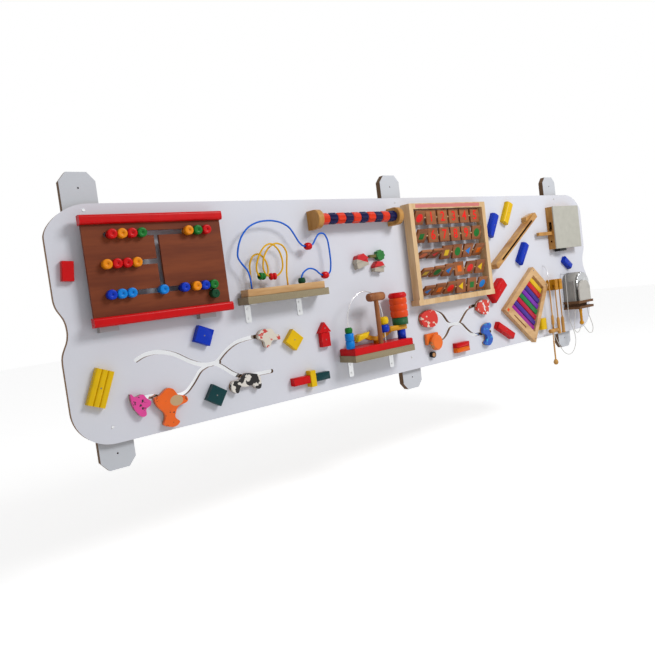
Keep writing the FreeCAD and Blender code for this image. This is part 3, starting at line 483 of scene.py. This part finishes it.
black = (0.012, 0.010, 0.010)
dress("track_pig", hand_painted("pink pig paint", (0.78, 0.06, 0.32), black, 95.0, 0.62))
dress("track_giraffe", hand_painted("orange giraffe paint", (0.88, 0.13, 0.003), black, 85.0, 0.63,
                                    (-0.938, -0.236, 0.019, 0.015)))
dress("track_cow", hand_painted("cow paint", (0.74, 0.70, 0.64), black, 38.0, 0.50))
dress("track_horse", hand_painted("horse paint", (0.72, 0.66, 0.56), (0.55, 0.05, 0.04), 60.0, 0.56))
dress("track_car", hand_painted("car paint", (0.66, 0.03, 0.02), (0.70, 0.55, 0.45), 55.0, 0.60))
dress("track_bird", hand_painted("bird paint", (0.66, 0.05, 0.03), (0.74, 0.70, 0.68), 50.0, 0.55))
dress("track_fish", hand_painted("fish paint", (0.02, 0.10, 0.50), (0.02, 0.35, 0.65), 70.0, 0.58))
dress("track_sun", hand_painted("sun paint", (0.85, 0.16, 0.015), (0.42, 0.20, 0.07), 30.0, 0.58))

# Small bead: a black bead with a tan face, screwed to the panel under the sun.
def add_disc(shape, centre, back_radius, front_radius, depth, segments):
    stand = Matrix.Translation(centre) @ Matrix.Rotation(math.radians(90), 4, "X")
    bmesh.ops.create_cone(shape, cap_ends=True, segments=segments, radius1=back_radius,
                          radius2=front_radius, depth=depth, matrix=stand)


bead_x = 0.094
bead_z = -0.278
bead_coats = (("bead_rim", 0.012, 0.014, lacquer("black bead paint", (0.010, 0.008, 0.008))),
              ("bead_face", 0.008, 0.0148, lacquer("tan bead face", (0.50, 0.26, 0.12))))
for name, radius, height, paint in bead_coats:
    bead = bmesh.new()
    add_disc(bead, (bead_x, panel_front - height / 2, bead_z), radius * 0.9, radius, height, 32)
    add_shape(name, bead, paint, "board")

# Blocks: plain lacquered building blocks screwed flat to the panel, each with a small nail
# dot in the middle of its face.
teal = lacquer("teal lacquer", (0.002, 0.045, 0.05))
block_orange = lacquer("block orange lacquer", (0.80, 0.14, 0.004))
orange_block_start, orange_block_end, orange_block_top = 0.2, 0.3, -0.273


def red_block_colour(centre):
    across_it = orange_block_start < centre.x < orange_block_end
    return block_orange if across_it and centre.z < orange_block_top else red


paint_solids("blocks_red", "board", red_block_colour)
dress("blocks_yellow", yellow)
paint_solids("blocks_blue", "board", lambda centre: teal if centre.z < -0.2 else blue)
nail_places = (
    (-0.829, 0.020, -0.070), (-0.815, 0.020, -0.247), (-0.524, 0.020, -0.128),
    (-0.400, 0.018, -0.146), (-0.400, 0.018, -0.108), (0.507, 0.030, -0.076),
    (0.530, 0.024, -0.247), (-1.136, 0.020, -0.163), (0.711, 0.022, 0.065),
    (0.528, 0.022, 0.195), (0.632, 0.022, 0.242), (1.041, 0.020, 0.001))
head_depth = 0.0008
heads = bmesh.new()
for x, block_depth, z in nail_places:
    add_disc(heads, (x, panel_front - block_depth, z), 0.0024, 0.0020, head_depth, 16)
add_shape("nail_heads", heads, metal("dull nail", (0.20, 0.19, 0.18), 0.5), "board")


# Slotted stick: a square honey coloured bar with a long slot in painted shade, set slanting on the
# panel.
def slotted_wood():
    finish = Finish("slotted stick wood", 0.35, coat=0.3)
    slant = math.radians(34.0)
    streaks = finish.noise(26.0, along_x, slant)
    wood = finish.mix(finish.steep(streaks, 0.35, 0.65), (0.38, 0.17, 0.04), (0.58, 0.32, 0.10))
    x = finish.along("X") - 0.653
    z = finish.along("Z") - 0.125
    off = (z * math.cos(slant) - x * math.sin(slant)).maths("ABSOLUTE")
    run = (x * math.cos(slant) + z * math.sin(slant)).maths("ABSOLUTE")
    # The slot's inner faces, behind the bar's front, are painted near-black: painted shade in the
    # recess.
    slot_in_shade = (off < 0.0047) * (run < 0.140) * (finish.along("Y") > -0.0745)
    finish.feed("Base Color", finish.mix(slot_in_shade, wood, (0.05, 0.02, 0.01)))
    finish.raise_by(streaks, 0.0003, 0.3)
    return finish.material


dress("slotted_stick", slotted_wood())

# Lever box: a varnished wooden box without a front, closed by an off-white panel, with a
# square lever that slides in a slot of its side and a dark wheel under it.
wheel_black = lacquer("black wheel paint", (0.012, 0.012, 0.012), 0.45)
paint_solids("box_body", "board",
             lambda centre: wheel_black if centre.x < 1.0 and centre.z < 0.075 else honey)
dress("box_cover", lacquer("off-white cover paint", (0.50, 0.49, 0.43), 0.5))
dress("box_lever", honey)

# Xylophone: a pine frame with eight painted bars, from the short yellow one to the long
# purple one.
dress("xylophone_frame", pine)
bar_paints = (
    (0.80, 0.50, 0.02), (0.62, 0.02, 0.02), (0.06, 0.03, 0.28), (0.20, 0.03, 0.42),
    (0.02, 0.22, 0.06), (0.50, 0.01, 0.05), (0.07, 0.03, 0.30), (0.36, 0.02, 0.30))
bar_colours = [lacquer("bar paint " + str(number + 1), colour, 0.3)
               for number, colour in enumerate(bar_paints)]
short_bar_x = 0.774
bar_step = 0.0163
paint_solids("xylophone_bars", "board", by_order(bar_colours, short_bar_x, -bar_step))

corner_mark = bmesh.new()
mark_place = (Matrix.Translation((0.558, -0.0622, -0.163)) @ Matrix.Rotation(math.radians(41.5), 4, "Y")
              @ Matrix.Diagonal((0.013, 0.0004, 0.013, 1.0)))
bmesh.ops.create_cube(corner_mark, size=1.0, matrix=mark_place)
add_shape("frame_corner_mark", corner_mark, tower_orange, "board")
frame_front = -0.0623
fixings = bmesh.new()
for x, z in ((0.761, -0.014), (0.842, -0.083), (0.722, -0.310), (0.553, -0.176)):
    add_disc(fixings, (x, frame_front, z), 0.0030, 0.0024, head_depth, 16)
add_shape("frame_screws", fixings, metal("dark screw", (0.25, 0.22, 0.20), 0.4), "board")

# Tile frame: a pale pine frame with five rods, a bare pink strip on its top rail, and six
# brown tiles on each rod. The tiles carry plain red numbers or simple coloured shapes.
dress("tile_frame", grained("pale pine", (0.70, 0.50, 0.29), (0.54, 0.34, 0.16), along_z, 0.45))
strip = bmesh.new()
strip_place = Matrix.Translation((0.234, -0.0862, 0.278)) @ Matrix.Diagonal((0.360, 0.0004, 0.013, 1.0))
bmesh.ops.create_cube(strip, size=1.0, matrix=strip_place)
add_shape("label_strip", strip, lacquer("pink strip", (0.62, 0.20, 0.18), 0.5), "board")
tile_brown = grained("brown tile stain", (0.34, 0.13, 0.05), (0.20, 0.065, 0.024), along_x, 0.4)
digit_red = lacquer("red tile paint", (0.85, 0.010, 0.006))
mark_paints = [digit_red, yellow, green, sky, block_orange]
row_marks = ("o12345", "#6789o", "o^#o^#", "#o^#o^", "^#o^#o")
shape_sides = {"o": 24, "#": 4, "^": 3}
rod_y = -0.069
tile_face = 0.0046
first_tile_x = 0.082
tile_pitch = 0.0624
top_rod_z = 0.2370
rod_pitch = 0.0678
mark_radius = 0.0165
mark_depth = 0.0004
tilts = ((28, 0, 0, 0, 0, 0), (34, 0, 0, 0, 0, 12), (66, 62, 30, 14, 24, 40),
         (60, 52, 38, 0, 30, 18), (55, 46, 40, 10, 14, 28))
for row, (marks, angles) in enumerate(zip(row_marks, tilts)):
    body = "tile_row_" + str(row + 1)
    dress(body, tile_brown)
    height = top_rod_z - rod_pitch * row
    painted = {}
    for column, (mark, angle) in enumerate(zip(marks, angles)):
        hub = Vector((first_tile_x + tile_pitch * column, rod_y, height))
        stand = (Matrix.Translation(hub) @ Matrix.Rotation(math.radians(angle), 4, "X")
                 @ Matrix.Translation((0.0, -tile_face, 0.0))
                 @ Matrix.Rotation(math.radians(90), 4, "X"))
        if mark in shape_sides:
            paint = mark_paints[(row * 2 + column) % len(mark_paints)]
            shape = painted.setdefault(paint, bmesh.new())
            turn = Matrix.Rotation(math.radians(45 if mark == "#" else 90), 4, "Z")
            bmesh.ops.create_cone(shape, cap_ends=True, segments=shape_sides[mark], radius1=mark_radius,
                                  radius2=mark_radius, depth=mark_depth, matrix=stand @ turn)
        else:
            letter = bpy.data.curves.new("digit", "FONT")
            letter.body = mark
            letter.size = 0.050
            letter.offset = 0.0009
            letter.extrude = mark_depth / 2
            letter.align_x = "CENTER"
            letter.align_y = "CENTER"
            figure = bpy.data.objects.new("digit", letter)
            flat = bpy.data.meshes.new_from_object(figure)
            flat.transform(stand)
            painted.setdefault(digit_red, bmesh.new()).from_mesh(flat)
            bpy.data.objects.remove(figure)
    for number, (paint, shape) in enumerate(painted.items()):
        add_shape(body + "_marks_" + str(number + 1), shape, paint, body)


# Spinner: a moulded grey housing with a cast silver disc behind a pale front panel. The housing
# is painted darker as painted shade behind the panel. The disc has fine radial ribs.
disc_x = 1.062
disc_z = -0.100


def ribbed():
    finish = Finish("ribbed silver with painted reflection", 0.3, metallic=1.0)
    angle = (finish.along("Z") - disc_z).maths("ARCTAN2", finish.along("X") - disc_x)
    ribs = (angle * 48.0).maths("SINE")
    # The ribs are also painted into the colour as dark and light bands: painted reflection off their
    # slopes. The bump below gives the ribs themselves.
    finish.feed("Base Color", finish.mix(ribs * 0.5 + 0.5, (0.42, 0.43, 0.44), (0.78, 0.79, 0.80)))
    finish.raise_by(ribs, 0.0006)
    return finish.material


# The housing grey is a darker copy of the pale panel grey: painted shade behind the front panel.
housing_grey_in_painted_shade = lacquer("grey moulding in painted shade", (0.34, 0.33, 0.31), 0.5)
panel_pale = lacquer("pale panel", (0.52, 0.50, 0.46), 0.5)
paint_solids("spinner_housing", "board",
             lambda centre: panel_pale if centre.y < -0.108 else housing_grey_in_painted_shade)
dress("spinner_disc", ribbed())

# Hanging sticks: turned honey coloured sticks in two glossy ochre clamps, a pull knob, and a
# mallet that hangs from a wire hook and a bundle.
dress("clamps_and_knob", ochre)
dress("hanging_sticks", honey)
bright_hook = metal("hook wire", (0.70, 0.70, 0.70), 0.3)
paint_solids("hanging_mallet", "board", lambda centre: bright_hook if centre.z > -0.072 else honey)

# Floor and light: a plain pale floor under the panel, a surround that looks white to the
# camera, to mirrors and through glass but lights the rest at half, and one soft lamp from
# the upper right.
floor_z = -0.75
floor = bmesh.new()
bmesh.ops.create_grid(floor, x_segments=1, y_segments=1, size=12.0,
                      matrix=Matrix.Translation((0.0, 0.0, floor_z)))
floor_mesh = bpy.data.meshes.new("floor")
floor.to_mesh(floor_mesh)
floor.free()
pale = Finish("pale floor", 0.9)
pale.shader.inputs["Base Color"].default_value = (0.86, 0.86, 0.86, 1.0)
pale.shader.inputs["Emission Strength"].default_value = 1.0
plain, mirrored, through = (pale.node("ShaderNodeLightPath", {}, {}, ray)
                            for ray in ("Is Camera Ray", "Is Glossy Ray", "Is Transmission Ray"))
in_view = plain.maths("MAXIMUM", mirrored).maths("MAXIMUM", through)
pale.feed("Emission Color", pale.mix(in_view, (0.0, 0.0, 0.0), (0.5, 0.5, 0.5)))
floor_mesh.materials.append(pale.material)
floor_piece = bpy.data.objects.new("floor", floor_mesh)
bpy.context.collection.objects.link(floor_piece)

world = bpy.data.worlds.new("white surround")
bpy.context.scene.world = world
world.use_nodes = True
sky_tree = world.node_tree
backdrop = sky_tree.nodes["Background"]
path = sky_tree.nodes.new("ShaderNodeLightPath")
in_sight = path.outputs["Is Camera Ray"]
for ray in ("Is Glossy Ray", "Is Transmission Ray"):
    either = sky_tree.nodes.new("ShaderNodeMath")
    either.operation = "MAXIMUM"
    sky_tree.links.new(in_sight, either.inputs[0])
    sky_tree.links.new(path.outputs[ray], either.inputs[1])
    in_sight = either.outputs[0]
glow = sky_tree.nodes.new("ShaderNodeMapRange")
glow.inputs["To Min"].default_value = 0.5
glow.inputs["To Max"].default_value = 1.0
sky_tree.links.new(in_sight, glow.inputs["Value"])
sky_tree.links.new(glow.outputs[0], backdrop.inputs["Strength"])
backdrop.inputs["Color"].default_value = (1.0, 1.0, 1.0, 1.0)

lamp = bpy.data.lights.new("soft lamp", "AREA")
lamp.shape = "RECTANGLE"
lamp.size = 1.3
lamp.size_y = 0.9
lamp.energy = 72.0
lamp_stand = bpy.data.objects.new("soft lamp", lamp)
lamp_stand.location = (0.9, -2.7, 1.9)
lamp_aim = Vector((-0.3, 0.0, 0.0)) - lamp_stand.location
lamp_stand.rotation_euler = lamp_aim.to_track_quat("-Z", "Y").to_euler()
bpy.context.collection.objects.link(lamp_stand)

bpy.context.scene.view_settings.view_transform = "Standard"
